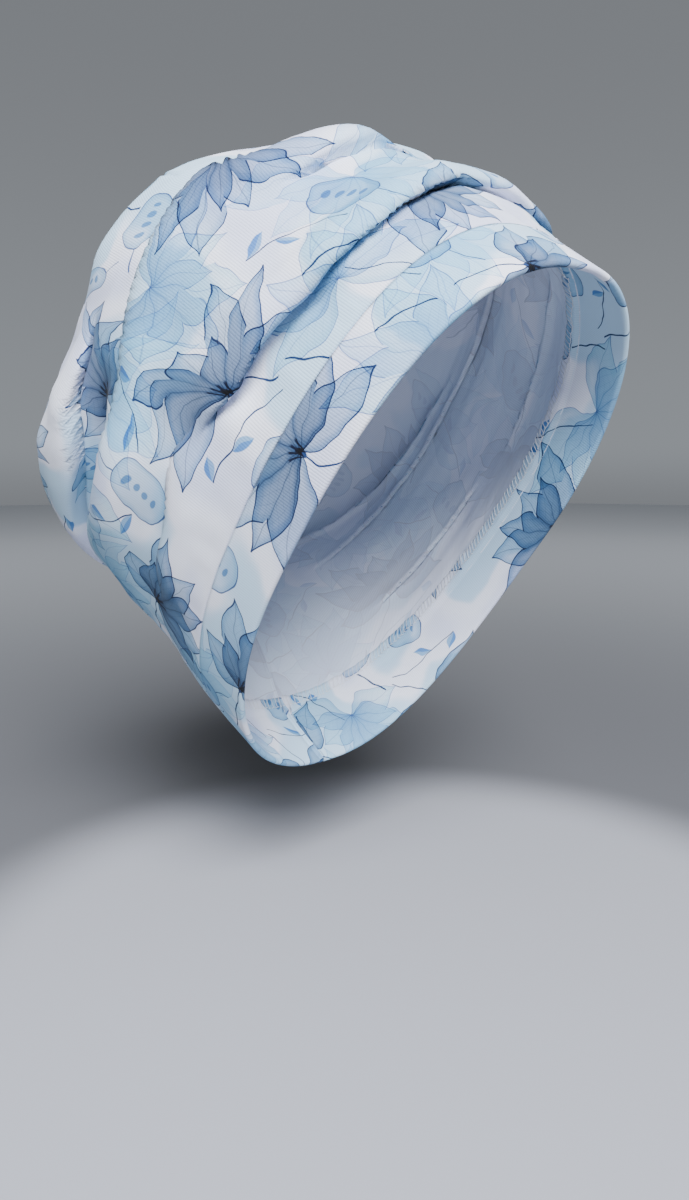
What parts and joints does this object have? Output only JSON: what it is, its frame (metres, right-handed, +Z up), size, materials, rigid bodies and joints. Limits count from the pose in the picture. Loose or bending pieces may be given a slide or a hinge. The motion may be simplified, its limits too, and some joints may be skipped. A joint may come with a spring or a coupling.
{
  "type": "chemo cap",
  "caption": "Soft slouch cap that covers the whole scalp, with a folded headband round its opening, kept in its worn form.",
  "frame": {"origin": "middle of the opening that the head goes into, on the sloping plane of the headband's edge", "axes": "+Z is up when the cap is worn, -Y is the way the wearer faces, and -X is the wearer's right"},
  "size_m": [0.2028, 0.248, 0.2644],
  "materials": {
    "headband_jersey": "matte fine-ribbed cotton jersey, white with a print of pale blue leaf sprays, folded double",
    "crown_jersey": "matte fine-ribbed cotton jersey, white with a print of pale blue leaf sprays, one loose layer"
  },
  "bodies": {
    "root": {"headband": "headband_jersey", "crown": "crown_jersey"}
  },
  "joints": []
}
